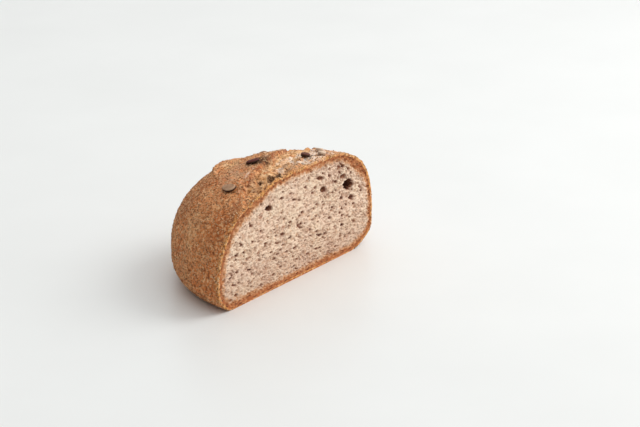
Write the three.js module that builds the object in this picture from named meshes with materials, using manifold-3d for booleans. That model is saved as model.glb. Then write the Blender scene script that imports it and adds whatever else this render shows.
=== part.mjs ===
// Half of a round buckwheat loaf, standing on its base as it was cut.
// The outside is a domed, browned crust: two scores have torn open on it, with a raised lip along one side of
// each, a ridge of dusty crust between them, patches of floury crust broken into plates, and pumpkin seeds baked
// into the surface. The flat cut face is open with the larger pores of the crumb.
//
// Millimetres, +Z up. The origin is the middle of the bounding box on the ground. The cut face looks towards -Y
// and runs along X. Inside the functions the loaf's own axis stands at x = 0, y = 0, in the plane of the cut.
import * as THREE from 'three';
import * as BufferGeometryUtils from 'three/addons/utils/BufferGeometryUtils.js';
import Module from 'manifold-3d';

// Driving dimensions of the loaf.
const LENGTH = 185;
const DEPTH = 95.5;
const HEIGHT = 85.5;
const BELLY_HEIGHT = 16.5; // the widest line of the loaf
const BASE_TUCK = 0.33; // how far the sides pull in below the belly, as a share of the radius squared
const BASE_TUCK_SKEW = 0.09; // more tuck at the +X end, less at the -X end
const BASE_ROUNDING = 3.5;

// Roundness of the dome as the power of a superellipse: 2 is a plain ellipse, more is squarer.
const FULLNESS = 2.77;
const FULLNESS_SKEW = 0.58; // the +X shoulder is squarer than the -X one
const BACK_FULLNESS = 0.48; // the shoulder at BACK_ANGLE is squarer again
const BACK_ANGLE = THREE.MathUtils.degToRad(129);

// The scores run side by side, turned from the cut. "Along" and "across" below are measured in their direction.
const SCORE_TURN = THREE.MathUtils.degToRad(20.5);
// Each is a torn band between a foot and a lip. It lies a little deep, and its dough may climb towards the lip.
const FRONT_SCORE = {
  start: -66, end: 70, widens: 36, // along: where it begins and ends, and how soon it is fully open
  foot: 7, lip: 30.5, // across
  depth: 1.1, climb: 0, crags: 1.0, // the torn dough
  lift: 1.6, fall: 5, // the crust raised at the lip, and how soon it drops behind it
};
const BACK_SCORE = {
  start: -15, end: 92, widens: 30,
  foot: 55.5, lip: 69,
  depth: 0.6, climb: 4.2, crags: 0.15,
  lift: 4.4, fall: 2,
};
const SCORE_AXIS = 0.7; // a score begins at this share of the way from its foot to its lip
const SCORE_FADE = 12; // length over which it begins and ends
const FOOT_EDGE = 1.5;
const LIP_EDGE = 1.6;
const SHOULDER = [22, 50]; // heights between which the scores and plates fade in
const RIDGE = { lift: 0.3, edge: 5, from: -25, full: 5 }; // the dusty crust between the scores
// Round swellings and hollows of the crust: torn dough that bulges at the cut, a rise on the back, a dip and a
// rise on the far shoulder, and a small flap.
const BULGES = [
  { x: -29, y: 0, lift: 2.2, reach: 8 },
  { x: -9, y: 0, lift: 1.2, reach: 9 },
  { x: -18.5, y: 75, lift: 0.7, reach: 5 },
  { x: 35, y: 53, lift: -1.7, reach: 8 },
  { x: 52, y: 45, lift: 1.7, reach: 7 },
  { x: 48.5, y: 30, lift: 2.8, reach: 5 },
];

// Floury crust, broken into plates.
const PLATE_SIZE = 11.5;
const PLATE_JITTER = 0.7; // how far plate middles stray, as a share of their size
const PLATE_LIFTS = [0.4, 1.1];
const CRACK_WIDTH = 1.9;
const CRACK_DEPTH = 1.3;
const FRONT_PLATES = { start: 16, end: 78, low: -32, high: 7 };
const RIDGE_PLATES = { start: 48, end: 88, low: 34, high: 52 };
const PLATE_FADE = 5;
const PLATE_BREAK = 1.5; // the sharper edge towards a torn band

// Unevenness of the dough as crossing waves: their length, height and where each of the three starts.
const SWELLS = [
  { length: 90, height: 1.3, starts: [3.2, 4.6, 5.1] },
  { length: 36, height: 0.5, starts: [0.7, 1.0, 3.7] },
];
const CRAGS = [
  { length: 13, height: 0.7, starts: [1.3, 4.1, 2.2] },
  { length: 7.3, height: 0.5, starts: [0.4, 2.6, 5.2] },
];

// Mesh fineness.
const AROUND = 144;
const UPPER_RINGS = 38;
const LOWER_RINGS = 5;
const BASE_RINGS = 3;
const CUT_MARGIN = 20; // how far the cutting block reaches past the loaf

// Pumpkin seeds: place on the dome, turn about the upright, length. The first ones lie on the side towards the
// cut, the rest are spread over the ridge and the far side.
const SEED_LENGTH = 12.5;
const SEED_WIDTH = 7.4;
const SEED_THICKNESS = 3.4;
const SEED_PROUD = 0.45; // height of a seed's middle above the crust
const SEED_TAPER = 0.28;
const SEEDS = [
  { x: -48, y: 26.5, turn: 92, length: 12.5 },
  { x: -4, y: 39.5, turn: -32, length: 10.5 },
  { x: 26, y: 14, turn: 55, length: 11 },
  { x: 44, y: 14.5, turn: 80, length: 7.5 },
  { x: 38, y: 7, turn: 5, length: 9 },
  { x: 42, y: 66, turn: 25, length: 13 },
  { x: 55, y: 66, turn: 68, length: 12.5 },
  { x: 67, y: 57, turn: 15, length: 12 },
  { x: 2, y: 88, turn: 40, length: 12 },
];

// Pores of the crumb that open in the cut face: hand-placed large ones, then smaller ones by a seeded rule.
const LARGE_PORES = [
  { x: 62.5, z: 56, width: 13.5, height: 9.3, depth: 8.5, turn: -15 },
  { x: 56.3, z: 64.2, width: 8.5, height: 4, depth: 2.4, turn: -6 },
  { x: 31.3, z: 60.8, width: 8.7, height: 5, depth: 3.4, turn: -14 },
  { x: 28, z: 70.8, width: 8.6, height: 3.4, depth: 2.6, turn: -20 },
  { x: -33.6, z: 65.3, width: 9.4, height: 4.5, depth: 3.6, turn: -14 },
  { x: 66, z: 44.5, width: 7.5, height: 4, depth: 3, turn: -12 },
  { x: -71, z: 40.5, width: 4, height: 3, depth: 2.6, turn: 0 },
  { x: -18, z: 40.2, width: 5.4, height: 2.7, depth: 2.2, turn: -10 },
  { x: -18.7, z: 68.5, width: 5, height: 2.5, depth: 2, turn: -8 },
  { x: 39.5, z: 35.5, width: 4.5, height: 2.8, depth: 2, turn: -10 },
  { x: 23, z: 15.5, width: 6, height: 2, depth: 1.8, turn: -14 },
  { x: -75, z: 18.3, width: 6.4, height: 1.7, depth: 2, turn: -16 },
];
const SMALL_PORES = 13;
const SMALL_PORE_WIDTH = [3.2, 4.8];
const SMALL_PORE_SLANT = [-24, -2]; // degrees
const SMALL_PORE_FORM = { height: 0.55, depth: 0.5 }; // as shares of the width
const PORE_TRIES = 4000;
const PORE_SEED = 7;
const PORE_CLEARANCE = 2.5;
const PORE_MARGIN = 9; // crust and fine crumb kept free of pores
const PORE_SIDES = [7, 5];

const MATERIAL = new THREE.MeshStandardMaterial({ color: 0xa06c47, roughness: 0.92, metalness: 0 });

const radiusX = LENGTH / 2;
const radiusY = DEPTH;
const domeHeight = HEIGHT - BELLY_HEIGHT;
const smooth = (low, high, value) => THREE.MathUtils.smoothstep(value, low, high);

// A small repeatable random source.
function makeRandom(seed) {
  let state = seed >>> 0;
  return () => {
    state = (Math.imul(state, 1664525) + 1013904223) >>> 0;
    return state / 4294967296;
  };
}

// A fixed number from 0 to 1 for a pair of whole numbers.
function scatter(i, j, salt) {
  const value = Math.sin(i * 127.1 + j * 311.7 + salt * 74.7) * 43758.5453;
  return value - Math.floor(value);
}

// Three crossing waves: a smooth unevenness from -1 to 1.
function swell(x, y, z, { length, starts }) {
  const turn = (2 * Math.PI) / length;
  const first = Math.sin(turn * (0.83 * x + 0.41 * z) + starts[0]);
  const second = Math.sin(turn * 1.2 * (0.92 * y - 0.37 * x) + starts[1]);
  const third = Math.sin(turn * 0.84 * (0.77 * z + 0.58 * y) + starts[2]);
  return (first + second + third) / 3;
}

const unevenness = (x, y, z, waves) => waves.reduce((sum, wave) => sum + wave.height * swell(x, y, z, wave), 0);

function fullness(angle) {
  const back = Math.max(0, Math.cos(angle - BACK_ANGLE));
  return FULLNESS + FULLNESS_SKEW * Math.cos(angle) + BACK_FULLNESS * back * back;
}

// Foot and lip of a score at a place along it, and how far it is open there: it begins narrow and opens out.
function scoreEdges(score, along) {
  const opened = smooth(score.start, score.start + score.widens, along);
  const middle = THREE.MathUtils.lerp(score.foot, score.lip, SCORE_AXIS);
  const begun = smooth(score.start, score.start + SCORE_FADE, along);
  return {
    foot: THREE.MathUtils.lerp(middle, score.foot, opened),
    lip: THREE.MathUtils.lerp(middle, score.lip, opened),
    open: begun * (1 - smooth(score.end - SCORE_FADE, score.end, along)),
  };
}

function scoreRelief(score, along, across, crag) {
  const { foot, lip, open } = scoreEdges(score, along);
  const width = Math.max(lip - foot, 1);
  const share = (across - foot) / width;
  const inside = smooth(foot - FOOT_EDGE, foot + FOOT_EDGE, across) * (1 - smooth(lip - LIP_EDGE, lip, across));
  const torn = inside * (score.climb * Math.max(share, 0) ** 0.8 - score.depth + score.crags * crag);
  const past = across - lip;
  const raised = smooth(-LIP_EDGE, 0, past) * Math.exp(-Math.max(past, 0) / score.fall);
  return open * (torn + score.lift * raised);
}

// How far a place lies inside a patch of plates, from 0 to 1.
function patchShare(patch, along, across) {
  const lengthwise = smooth(patch.start - PLATE_FADE, patch.start, along)
    * (1 - smooth(patch.end - PLATE_FADE, patch.end, along));
  const crosswise = smooth(patch.low - PLATE_FADE, patch.low, across)
    * (1 - smooth(patch.high - PLATE_BREAK, patch.high, across));
  return lengthwise * crosswise;
}

// Plates are the cells round scattered middles. Each has its own height, and cracks run between them.
function plateRelief(along, across) {
  const column = Math.floor(along / PLATE_SIZE);
  const row = Math.floor(across / PLATE_SIZE);
  let nearest = Infinity;
  let second = Infinity;
  let own = 0;
  for (let i = column - 1; i <= column + 1; i += 1) {
    for (let j = row - 1; j <= row + 1; j += 1) {
      const middleAlong = (i + 0.5 + PLATE_JITTER * (scatter(i, j, 1) - 0.5)) * PLATE_SIZE;
      const middleAcross = (j + 0.5 + PLATE_JITTER * (scatter(i, j, 2) - 0.5)) * PLATE_SIZE;
      const distance = Math.hypot(along - middleAlong, across - middleAcross);
      if (distance < nearest) {
        second = nearest;
        nearest = distance;
        own = scatter(i, j, 3);
      } else if (distance < second) {
        second = distance;
      }
    }
  }
  const crack = 1 - smooth(0, CRACK_WIDTH, second - nearest);
  return THREE.MathUtils.lerp(...PLATE_LIFTS, own) - CRACK_DEPTH * crack;
}

// Height of the crust above the smooth dome, at a place on the dome.
function relief(x, y, z) {
  const along = x * Math.cos(SCORE_TURN) + y * Math.sin(SCORE_TURN);
  const across = y * Math.cos(SCORE_TURN) - x * Math.sin(SCORE_TURN);
  const top = smooth(...SHOULDER, z);
  const crag = unevenness(x, y, z, CRAGS);
  let height = unevenness(x, y, z, SWELLS);
  height += top * scoreRelief(FRONT_SCORE, along, across, crag);
  height += top * scoreRelief(BACK_SCORE, along, across, crag);
  const ridge = smooth(FRONT_SCORE.lip, FRONT_SCORE.lip + RIDGE.edge, across)
    * (1 - smooth(BACK_SCORE.foot - RIDGE.edge, BACK_SCORE.foot, across));
  height += top * ridge * RIDGE.lift * smooth(RIDGE.from, RIDGE.full, along);
  const plates = Math.max(patchShare(FRONT_PLATES, along, across), patchShare(RIDGE_PLATES, along, across));
  if (plates > 0) height += top * plates * plateRelief(along, across);
  for (const bulge of BULGES) {
    height += bulge.lift * Math.exp(-(((x - bulge.x) ** 2 + (y - bulge.y) ** 2) / bulge.reach ** 2));
  }
  return height * smooth(0, BELLY_HEIGHT, z);
}

// Outward direction of the smooth dome.
function outward(x, y, z) {
  const rise = Math.max(z - BELLY_HEIGHT, 0) / domeHeight;
  return new THREE.Vector3(x / radiusX ** 2, y / radiusY ** 2, rise / domeHeight).normalize();
}

// Moves a vertex of a round shell of radius 1, with its ground at height -1, to its place on the loaf.
function shapeVertex(vertex) {
  const { x: east, y: up } = vertex;
  const north = -vertex.z;
  const angle = Math.atan2(north, east);
  const round = Math.hypot(east, north);
  let spread = round;
  let z;
  if (up > 0) {
    const power = fullness(angle);
    const slope = Math.atan2(up, round);
    const reach = (Math.cos(slope) ** power + Math.sin(slope) ** power) ** (-1 / power);
    spread = reach * Math.cos(slope);
    z = BELLY_HEIGHT + domeHeight * reach * Math.sin(slope);
  } else {
    z = BELLY_HEIGHT * (1 + up);
    const tuck = BASE_TUCK + BASE_TUCK_SKEW * Math.cos(angle);
    const below = Math.max(0, 1 - z / BASE_ROUNDING);
    const rounding = (BASE_ROUNDING / radiusX) * (1 - Math.sqrt(1 - below * below));
    spread = round * (Math.sqrt(1 - tuck * up * up) - rounding);
  }
  const x = radiusX * spread * Math.cos(angle);
  const y = radiusY * spread * Math.sin(angle);
  vertex.set(x, y, z);
  if (z > 0) vertex.addScaledVector(outward(x, y, z), relief(x, y, z));
  return vertex;
}

// The place on the crust above a point of the ground plan, and the direction the crust faces there.
function crustPlace(x, y) {
  const at = (px, py) => {
    const angle = Math.atan2(py / radiusY, px / radiusX);
    const power = fullness(angle);
    const spread = Math.hypot(px / radiusX, py / radiusY);
    const z = BELLY_HEIGHT + domeHeight * (1 - spread ** power) ** (1 / power);
    return new THREE.Vector3(px, py, z).addScaledVector(outward(px, py, z), relief(px, py, z));
  };
  const step = SEED_WIDTH / 2;
  const alongX = at(x + step, y).sub(at(x - step, y));
  const alongY = at(x, y + step).sub(at(x, y - step));
  return { place: at(x, y), facing: alongX.cross(alongY).normalize() };
}

// The whole loaf: a lathed shell, closed on its axis at the ground and at the top, then shaped point by point.
function loafGeometry() {
  const profile = [new THREE.Vector2(0, -1)];
  for (let i = 1; i < BASE_RINGS; i += 1) profile.push(new THREE.Vector2(i / BASE_RINGS, -1));
  for (let i = 0; i <= LOWER_RINGS; i += 1) profile.push(new THREE.Vector2(1, i / LOWER_RINGS - 1));
  for (let i = 1; i <= UPPER_RINGS; i += 1) {
    const slope = (i / UPPER_RINGS) * (Math.PI / 2);
    profile.push(new THREE.Vector2(i < UPPER_RINGS ? Math.cos(slope) : 0, Math.sin(slope)));
  }
  const geometry = new THREE.LatheGeometry(profile, AROUND);
  const positions = geometry.getAttribute('position');
  const vertex = new THREE.Vector3();
  for (let i = 0; i < positions.count; i += 1) {
    shapeVertex(vertex.fromBufferAttribute(positions, i));
    positions.setXYZ(i, vertex.x, vertex.y, vertex.z);
  }
  return geometry;
}

function seedGeometry({ x, y, turn, length }) {
  const geometry = new THREE.SphereGeometry(1, 8, 4);
  const positions = geometry.getAttribute('position');
  for (let i = 0; i < positions.count; i += 1) {
    const lengthwise = positions.getX(i);
    const crosswise = -positions.getZ(i) * (1 - SEED_TAPER * lengthwise);
    positions.setXYZ(
      i,
      lengthwise * (length / 2),
      crosswise * (SEED_WIDTH / 2) * (length / SEED_LENGTH),
      positions.getY(i) * (SEED_THICKNESS / 2),
    );
  }
  const { place, facing } = crustPlace(x, y);
  const lay = new THREE.Quaternion().setFromUnitVectors(new THREE.Vector3(0, 0, 1), facing);
  geometry.rotateZ(THREE.MathUtils.degToRad(turn));
  geometry.applyQuaternion(lay);
  geometry.translate(
    place.x + facing.x * SEED_PROUD,
    place.y + facing.y * SEED_PROUD,
    place.z + facing.z * SEED_PROUD,
  );
  return geometry;
}

function poreGeometry({ x, z, width, height, depth, turn }) {
  const geometry = new THREE.SphereGeometry(1, ...PORE_SIDES);
  geometry.rotateX(Math.PI / 2);
  geometry.scale(width / 2, depth, height / 2);
  geometry.rotateY(-THREE.MathUtils.degToRad(turn));
  geometry.translate(x, 0, z);
  return geometry;
}

// True where a round spot of the cut face lies in the crumb, clear of the crust.
function inCrumb(x, z) {
  const power = FULLNESS + FULLNESS_SKEW * Math.sign(x);
  const wide = Math.abs(x) / (radiusX - PORE_MARGIN);
  const high = Math.max(z - BELLY_HEIGHT, 0) / (domeHeight - PORE_MARGIN);
  return z > PORE_MARGIN && wide ** power + high ** power < 1;
}

function allPores() {
  const random = makeRandom(PORE_SEED);
  const between = ([low, high]) => low + (high - low) * random();
  const pores = [...LARGE_PORES];
  for (let tries = 0; pores.length < LARGE_PORES.length + SMALL_PORES && tries < PORE_TRIES; tries += 1) {
    const x = (random() - 0.5) * LENGTH;
    const z = random() * HEIGHT;
    const width = between(SMALL_PORE_WIDTH);
    const apart = (pore) => Math.hypot(pore.x - x, pore.z - z) - (pore.width + width) / 2;
    if (!inCrumb(x, z) || pores.some((pore) => apart(pore) < PORE_CLEARANCE)) continue;
    const height = width * SMALL_PORE_FORM.height;
    const depth = width * SMALL_PORE_FORM.depth;
    pores.push({ x, z, width, height, depth, turn: between(SMALL_PORE_SLANT) });
  }
  return pores;
}

const wasm = await Module();
wasm.setup();

function toSolid(geometry) {
  const bare = geometry.clone();
  bare.deleteAttribute('normal');
  bare.deleteAttribute('uv');
  const merged = BufferGeometryUtils.mergeVertices(bare, 1e-4);
  return new wasm.Manifold(new wasm.Mesh({
    numProp: 3,
    vertProperties: new Float32Array(merged.getAttribute('position').array),
    triVerts: new Uint32Array(merged.getIndex().array),
  }));
}

function toGeometry(solid) {
  const { vertProperties, triVerts } = solid.getMesh();
  const geometry = new THREE.BufferGeometry();
  geometry.setAttribute('position', new THREE.BufferAttribute(vertProperties, 3));
  geometry.setIndex(new THREE.BufferAttribute(triVerts, 1));
  geometry.computeVertexNormals();
  return geometry;
}

// Everything in front of the cut plane is taken off.
function cuttingBlock() {
  const wide = LENGTH + 2 * CUT_MARGIN;
  const deep = DEPTH + CUT_MARGIN;
  const high = HEIGHT + 2 * CUT_MARGIN;
  return new THREE.BoxGeometry(wide, deep, high).translate(0, -deep / 2, high / 2 - CUT_MARGIN);
}

function breadHalf() {
  let solid = toSolid(loafGeometry());
  for (const seed of SEEDS) solid = solid.add(toSolid(seedGeometry(seed)));
  solid = solid.subtract(toSolid(cuttingBlock()));
  for (const pore of allPores()) solid = solid.subtract(toSolid(poreGeometry(pore)));
  const mesh = new THREE.Mesh(toGeometry(solid), MATERIAL);
  mesh.name = 'bread_half';
  mesh.position.set(0, -DEPTH / 2, 0);
  return mesh;
}

const buckwheatBread = new THREE.Group();
buckwheatBread.add(breadHalf());

export default buckwheatBread;
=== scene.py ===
"""Half of a round buckwheat loaf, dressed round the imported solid: its baked crust, cut crumb, pumpkin seeds,
semolina and bran."""

import math
import random
from bisect import bisect_left

import bmesh
import bpy
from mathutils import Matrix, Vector, kdtree, noise


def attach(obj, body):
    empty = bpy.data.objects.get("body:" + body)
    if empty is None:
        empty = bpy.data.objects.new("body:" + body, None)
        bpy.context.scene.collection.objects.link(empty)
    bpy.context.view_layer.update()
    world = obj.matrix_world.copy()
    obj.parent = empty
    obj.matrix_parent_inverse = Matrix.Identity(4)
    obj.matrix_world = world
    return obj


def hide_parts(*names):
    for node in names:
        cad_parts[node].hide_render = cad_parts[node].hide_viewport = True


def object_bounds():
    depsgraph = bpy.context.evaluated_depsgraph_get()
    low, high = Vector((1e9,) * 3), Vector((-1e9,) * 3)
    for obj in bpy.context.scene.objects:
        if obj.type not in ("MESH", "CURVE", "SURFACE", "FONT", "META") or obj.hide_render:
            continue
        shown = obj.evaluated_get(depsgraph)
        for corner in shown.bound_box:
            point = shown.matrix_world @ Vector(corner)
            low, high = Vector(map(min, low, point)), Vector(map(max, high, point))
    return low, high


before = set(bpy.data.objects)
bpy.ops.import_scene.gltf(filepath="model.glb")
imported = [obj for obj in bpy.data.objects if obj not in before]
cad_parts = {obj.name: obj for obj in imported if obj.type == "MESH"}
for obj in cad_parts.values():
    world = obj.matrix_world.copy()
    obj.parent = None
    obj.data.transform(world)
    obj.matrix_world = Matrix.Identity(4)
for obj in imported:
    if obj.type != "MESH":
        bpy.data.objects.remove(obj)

bl_info = {
    "name": "Buckwheat Bread Half",
    "version": (1, 0, 0),
    "blender": (4, 5, 0),
    "location": "3D View > Sidebar > Bread",
    "description": "Builds the crust, crumb, seeds and bran of half a round buckwheat loaf",
    "category": "Object",
}

BODY = "root"
NODE = "bread_half"
CAD_LOW, CAD_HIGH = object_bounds()
MM = 0.001

# The form of the loaf, in millimetres. The loaf's own axis stands at x = 0, y = 0, in the plane of the cut,
# and the crust bulges towards +Y. Most of these repeat the solid's own sizes. The cracks are finer here, the
# front score is a little lower, and the overhang and course of the lips are this scene's own.
LENGTH = 185.0
DEPTH = 95.5
HEIGHT = 85.5
BELLY_HEIGHT = 16.5
BASE_TUCK = 0.33
BASE_TUCK_SKEW = 0.09
BASE_ROUNDING = 3.5
FULLNESS = 2.77
FULLNESS_SKEW = 0.58
BACK_FULLNESS = 0.48
BACK_ANGLE = math.radians(129)

SCORE_TURN = math.radians(20.5)
FRONT_SCORE = {
    "start": -66, "end": 70, "widens": 36, "foot": 7, "lip": 30.5,
    "depth": 1.0, "climb": 0.0, "crags": 1.0, "lift": 1.3, "fall": 5.0, "overhang": 0.8,
    "lip_starts": -54, "lip_full": -24,
}
BACK_SCORE = {
    "start": -15, "end": 92, "widens": 30, "foot": 55.5, "lip": 69,
    "depth": 0.6, "climb": 4.2, "crags": 0.15, "lift": 4.4, "fall": 2.0, "overhang": 0.9,
    "lip_starts": -8, "lip_full": 14,
}
SCORE_AXIS = 0.7
SCORE_FADE = 12
FOOT_EDGE = 1.5
LIP_EDGE = 1.6
SHOULDER = (22, 50)
RIDGE = {"lift": 0.3, "edge": 5, "from": -25, "full": 5}
# Strips along a score's lip: how far past its edge they lie, and their width.
UNDERCUT = (-2.2, 1.3)
LIP_RIM = (-0.2, 1.5)
# The roasted strip just inside each lip is partly roasting and partly painted shade under the lip.
LIP_ROAST_AND_SHADE_STRIP = (-0.4, 1.4)
# The pale crest strip beyond each lip is partly flour and partly a painted highlight.
FLOUR_AND_HIGHLIGHT_CREST = (2.9, 1.2)
# Round swellings and hollows: x, y, lift, reach. The last two are this scene's own.
BULGES = (
    (-29, 0, 2.2, 8),
    (-9, 0, 1.2, 9),
    (-18.5, 75, 0.7, 5),
    (35, 53, -1.7, 8),
    (52, 45, 1.7, 7),
    (48.5, 30, 2.8, 5),
    (-21, 9, 2.5, 8),
    (0, 11, 2.0, 9),
)

PLATE_SIZE = 11.5
PLATE_JITTER = 0.7
PLATE_LIFTS = (0.4, 1.1)
PLATE_TILT = 0.09
CRACK_WIDTH = 0.9
CLOSED_CRACK = 1.6
CRACK_DEPTH = 0.9
FRONT_PLATES = {"start": 16, "end": 78, "low": -32, "high": 7}
RIDGE_PLATES = {"start": 48, "end": 88, "low": 34, "high": 52}
PLATE_FADE = 5
PLATE_BREAK = 1.5

SWELLS = ((90, 1.3, (3.2, 4.6, 5.1)), (36, 0.5, (0.7, 1.0, 3.7)))
CRAGS = ((13, 0.7, (1.3, 4.1, 2.2)), (7.3, 0.5, (0.4, 2.6, 5.2)))

# Small holes and furrows of the crust: x, y, half length, half width, turn, depth.
PITS = (
    (-24.3, 5.8, 6.8, 3.9, 38, 4.0),
    (-16.2, 5.9, 7.2, 2.7, 38, 3.2),
    (-32.7, 9.6, 3.4, 1.6, 50, 1.8),
    (-20.9, 18.2, 3.2, 1.3, 0, 2.0),
    (-41.5, 15.5, 2.4, 1.1, 20, 0.9),
    (-7.5, 23.5, 1.2, 0.7, 40, 1.1),
    (-29.5, 15.0, 1.3, 0.7, 10, 1.0),
    (12.5, 29.5, 1.3, 0.8, 30, 1.1),
    (-6.0, 11.0, 2.2, 0.7, 20, 1.0),
    (1.5, 37.5, 12.0, 5.0, 8, 1.2),
    (14.0, 7.0, 2.6, 1.2, 60, 1.2),
    (-31.5, 55.5, 2.2, 0.9, 25, 1.1),
    (-43.5, 49.5, 2.4, 0.8, 30, 1.0),
    (44.0, 3.4, 4.2, 0.7, 12, 1.1),
    (31.0, 24.5, 5.5, 0.8, 30, 1.1),
)

# Spots of colour on the crust: kind, x, y, half length, half width, turn, strength.
SPOTS = (
    # The dark spots are laid in the painted pit shade, the larger one over the crevice beside a seed.
    ("dark", -0.5, 37.2, 17.0, 9.5, 8, 1.0),
    ("dark", 30.0, 9.5, 4.2, 1.7, -50, 0.85),
    ("roast", -40.0, 16.0, 4.4, 2.6, 35, 0.95),
    ("roast", -34.0, 12.0, 9.0, 5.0, 38, 0.4),
    ("roast", -33.0, 21.0, 5.0, 1.4, 22, 0.5),
    ("roast", -15.0, 28.5, 7.0, 1.7, 22, 0.75),
    ("roast", 2.0, 32.5, 6.0, 1.4, 22, 0.8),
    ("roast", -6.0, 11.0, 2.8, 1.2, 25, 0.55),
    ("roast", 14.0, 43.0, 6.5, 1.6, 24, 0.8),
    ("roast", -58.0, 60.0, 12.0, 9.0, 40, 0.45),
    ("roast", -38.0, 56.0, 15.0, 9.0, 40, 0.5),
    ("roast", -66.0, 6.0, 14.0, 6.0, 10, 0.6),
    ("roast", -39.0, 8.0, 12.0, 5.0, 38, 0.45),
    ("roast", -80.0, 12.0, 9.0, 9.0, 60, 0.25),
    ("flour", -28.5, 24.8, 7.0, 1.6, 25, 0.75),
    ("flour", 15.0, 16.5, 7.5, 1.8, 68, 1.0),
    ("flour", 23.0, 24.5, 8.0, 2.2, 32, 0.8),
    ("flour", 38.0, 15.0, 9.0, 6.0, 30, 1.0),
    ("flour", 32.0, 8.0, 14.0, 7.0, 10, 1.0),
    ("flour", 34.0, 24.0, 12.0, 6.0, 25, 0.8),
    ("flour", -8.0, 14.5, 6.5, 1.4, 20, 0.5),
    ("flour", 8.0, 38.0, 7.5, 1.6, 20, 0.35),
    ("flour", 12.0, 24.0, 13.0, 6.0, 20, 0.4),
    ("flour", -5.0, 12.5, 10.0, 4.0, 38, 0.6),
    ("dust", 5.0, 10.0, 20.0, 10.0, 15, 0.85),
    ("dust", 20.0, 8.0, 14.0, 9.0, 20, 0.6),
    ("dust", -20.0, 40.0, 34.0, 14.0, 20, 0.8),
    ("gold", -75.0, 39.0, 14.0, 8.0, 60, 0.35),
    ("gold", -15.0, 1.5, 5.0, 2.2, 10, 1.0),
    ("gold", -62.0, 7.0, 12.0, 6.0, 10, 0.15),
    ("gold", -5.0, 24.0, 16.0, 5.0, 22, 0.5),
    ("gold", -18.0, 66.0, 22.0, 7.0, 22, 0.55),
    ("gold", -6.0, 59.0, 14.0, 9.0, 20, 1.0),
    ("gold", -52.0, 44.0, 10.0, 5.0, 40, 0.35),
)
LOOKS = ("torn", "roast", "flour", "dust", "gold", "dark", "gap", "rim", "bran")
GAP_FAR = 4.0

# Pumpkin seeds: place on the dome, turn about the upright, length, and how dark they are toasted.
SEED_LENGTH = 12.5
SEED_WIDTH = 7.4
SEED_THICKNESS = 3.4
SEED_PROUD = 1.6
SEED_TAPER = 0.28
# Across a seed, in shares of its size: where its raised rim lies, and the rim's width and height. Its flatness
# is the height of its middle as a share of a ball's.
SEED_RIM_PLACE = 0.84
SEED_RIM_WIDTH = 0.1
SEED_RIM_HEIGHT = 0.3
SEED_FLATNESS = 0.72
# The groove round each seed, and the low swelling outside it.
MOAT_REACH = 2.2
MOAT_DEPTH = 1.3
MOAT_PLACE = 0.5
MOAT_WIDTH = 0.8
MOAT_SWELL = 0.2
MOAT_SWELL_STRIP = (2.4, 1.3)
SHADED_SIDE = math.radians(215)
SEEDS = (
    (-48.8, 24.8, 92, 12.5, 0.25),
    (-4, 39.5, -32, 10.5, 1.0),
    (26, 14, 55, 11, 0.95),
    (44, 14.5, 80, 7.5, 0.05),
    (38, 7, 5, 9, 0.05),
    (42, 66, 25, 13, 0.35),
    (55, 66, 68, 12.5, 0.1),
    (67, 57, 15, 12, 0.5),
    (2, 88, 40, 12, 0.25),
)

# Pores that open in the cut face: x, z, width, height, depth, turn.
LARGE_PORES = (
    (62.5, 56, 13.5, 9.3, 8.5, -15),
    (56.3, 64.2, 8.5, 4, 2.4, -6),
    (31.3, 60.8, 8.7, 5, 3.4, -14),
    (28, 70.8, 8.6, 3.4, 2.6, -20),
    (-33.6, 65.3, 9.4, 4.5, 3.6, -14),
    (66, 44.5, 7.5, 4, 3, -12),
    (-71, 40.5, 4, 3, 2.6, 0),
    (-18, 40.2, 5.4, 2.7, 2.2, -10),
    (-18.7, 68.5, 5, 2.5, 2, -8),
    (39.5, 35.5, 4.5, 2.8, 2, -10),
    (23, 15.5, 6, 2, 1.8, -14),
    (-75, 18.3, 6.4, 1.7, 2, -16),
)
# Further pores that only this scene has: x, z, width, height.
PLACED_PORES = (
    (47.2, 62.6, 4.2, 2.6),
    (-4, 24.8, 5.2, 1.8),
    (27.5, 25.3, 4.8, 2),
    (54, 47.5, 4.4, 3),
    (-38, 38.9, 4.5, 2.2),
    (-16, 51.6, 3.6, 2.2),
    (5.5, 50.3, 4.2, 2.4),
    (-17, 73, 3.5, 1.6),
    (-42.3, 70.8, 3.2, 2),
    (-4, 63, 5, 1.8),
    (18, 62, 4, 2),
    (21.8, 65.5, 3.4, 2.4),
    (10, 69, 3.2, 3),
    (-42.5, 45.5, 2.2, 1.8),
    (-53, 45, 3.5, 2),
    (-85, 25.8, 2.5, 2),
    (-77, 26.5, 3.5, 2),
    (-57, 24.5, 5.2, 1.4),
    (-18, 31.5, 4, 1.6),
    (-44, 8.5, 3, 2.4),
    (43, 43, 4, 2.4),
    (55, 33, 4, 2.4),
    (55, 25, 5, 2.6),
    (43, 55, 3.5, 2.2),
)
SMALL_PORES = 13
SMALL_PORE_WIDTH = (3.2, 4.8)
SMALL_PORE_SLANT = (-24, -2)
SMALL_PORE_FORM = (0.55, 0.5)
CRUMB_LEAN = -12
PORE_CLEARANCE = 2.5
PORE_MARGIN = 9
PORE_TRIES = 4000
PORE_SEED = 7
FINER_PORE_SEED = 21

# Steps of the cut's outline: their length on the dome, and their number up each side and along the ground.
OUTLINE_STEP = 0.5
SIDE_STEPS = 40
GROUND_STEPS = 80
CRUMB_MIDDLE = 36.0
CRUST_SKIN = 1.9
# The crust's hollow for the crumb narrows behind the cut, so that it stays clear of the holes in the crust:
# how far it goes in from the edge of the cut and how much deeper, step by step.
POCKET_STEPS = ((CRUST_SKIN, 0.0), (4.4, 2.0), (4.5, 11.0))
POCKET_GAP = 0.04

# Grains: their three half sizes as shares of the size, and the seed of their draws.
SEMOLINA = ((1, 0.85, 0.7), 5)
BRAN = ((1, 0.6, 0.3), 15)

RADIUS_X = LENGTH / 2
RADIUS_Y = DEPTH
DOME = HEIGHT - BELLY_HEIGHT

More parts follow.
